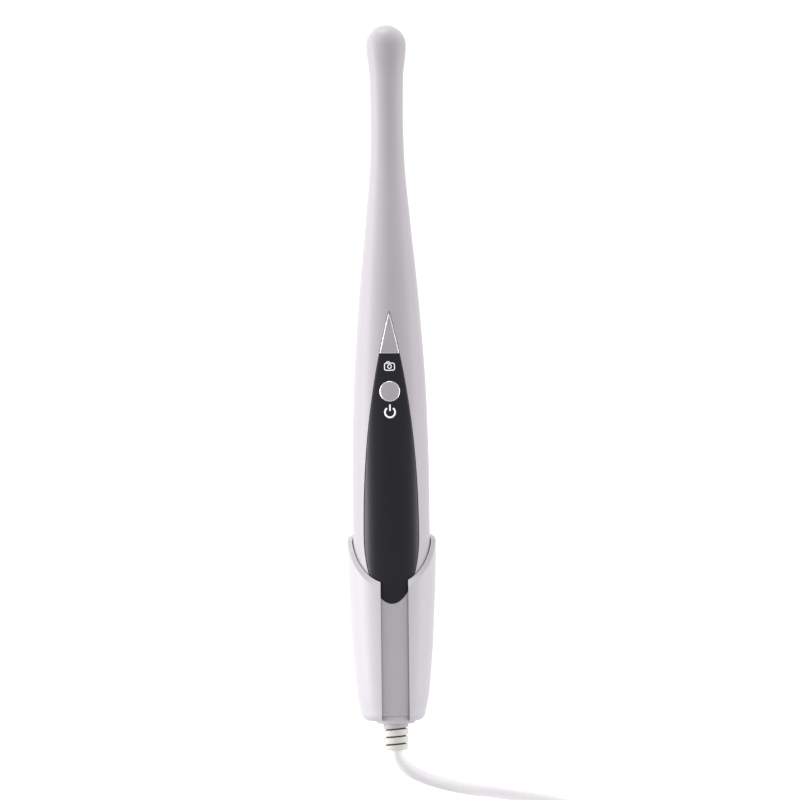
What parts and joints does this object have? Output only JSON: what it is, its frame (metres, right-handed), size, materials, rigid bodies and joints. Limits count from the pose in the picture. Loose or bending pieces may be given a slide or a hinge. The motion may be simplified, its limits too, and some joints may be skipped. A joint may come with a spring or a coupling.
{
  "type": "intraoral camera",
  "caption": "Slim dental camera wand with a dark key panel, lying in its slotted wall holder, with a ribbed strain relief, a coiled cable and a USB plug.",
  "frame": {"origin": "middle of the adhesive pad's outer face on the holder's back, on the surface that the object lies on", "axes": "+Y along the wand from its tail to its tip, +Z out of the side with the keys, +X to the right seen from the keys' side with the tip up"},
  "size_m": [0.0885, 0.305, 0.0268],
  "materials": {
    "housing": "white with a faint lilac cast, smooth satin gloss",
    "holder": "white, smooth",
    "panel": "dark grey, fine satin",
    "keys": "silver, satin top with a polished edge",
    "relief": "ivory, soft matt",
    "jacket": "white cable jacket, satin",
    "board": "green solder mask on glass fibre",
    "chip": "black moulded package",
    "connector": "natural white nylon",
    "black_plastic": "black, smooth",
    "steel": "plain nickel-plated",
    "brass": "turned",
    "glass": "clear, polished",
    "lamp": "pale yellow phosphor in a white package",
    "ribbon": "amber polyimide film",
    "wire": "coloured wire insulation",
    "foam": "grey adhesive foam",
    "tie": "black hook and loop band"
  },
  "bodies": {
    "holder": {"holder_shell": "holder", "mounting_pad": "foam", "cable": "jacket", "cable_tail": "jacket", "cable_coil": "jacket", "coil_tie": "tie", "plug_boot": "jacket", "plug_body": "jacket", "plug_shell": "steel", "plug_tongue": "connector"},
    "wand": {"front_shell": "housing", "back_shell": "housing", "control_panel": "panel", "capture_switch": "steel", "power_switch": "steel", "key_board": "board", "housing_screw_1": "steel", "housing_screw_2": "steel", "window_bezel": "black_plastic", "lens_window": "glass", "led_board": "board", "led_1": "lamp", "led_2": "lamp", "led_3": "lamp", "led_4": "lamp", "led_5": "lamp", "led_6": "lamp", "lens_barrel": "black_plastic", "front_lens": "glass", "image_sensor": "chip", "sensor_board": "board", "camera_ribbon": "ribbon", "main_board": "board", "video_processor": "chip", "ribbon_connector": "connector", "cable_header": "connector", "tail_collar": "housing", "gland_nut": "brass", "strain_relief": "relief", "cable_end": "jacket", "cable_clamp": "steel", "cable_wire_1": "wire", "cable_wire_2": "wire", "cable_wire_3": "wire", "cable_wire_4": "wire"},
    "capture_key": {"capture_key": "keys", "capture_plunger": "chip"},
    "power_key": {"power_key": "keys", "power_plunger": "chip"}
  },
  "joints": [
    {"name": "wand_slide", "type": "slide", "parent": "holder", "child": "wand", "axis": [0, 1, 0], "range_m": [0, 0.055]},
    {"name": "capture_press", "type": "slide", "parent": "wand", "child": "capture_key", "axis": [0, 0, -1], "range_m": [0, 0.0004], "stiffness_N_per_m": 4000},
    {"name": "power_press", "type": "slide", "parent": "wand", "child": "power_key", "axis": [0, 0, -1], "range_m": [0, 0.0004], "stiffness_N_per_m": 4000}
  ]
}
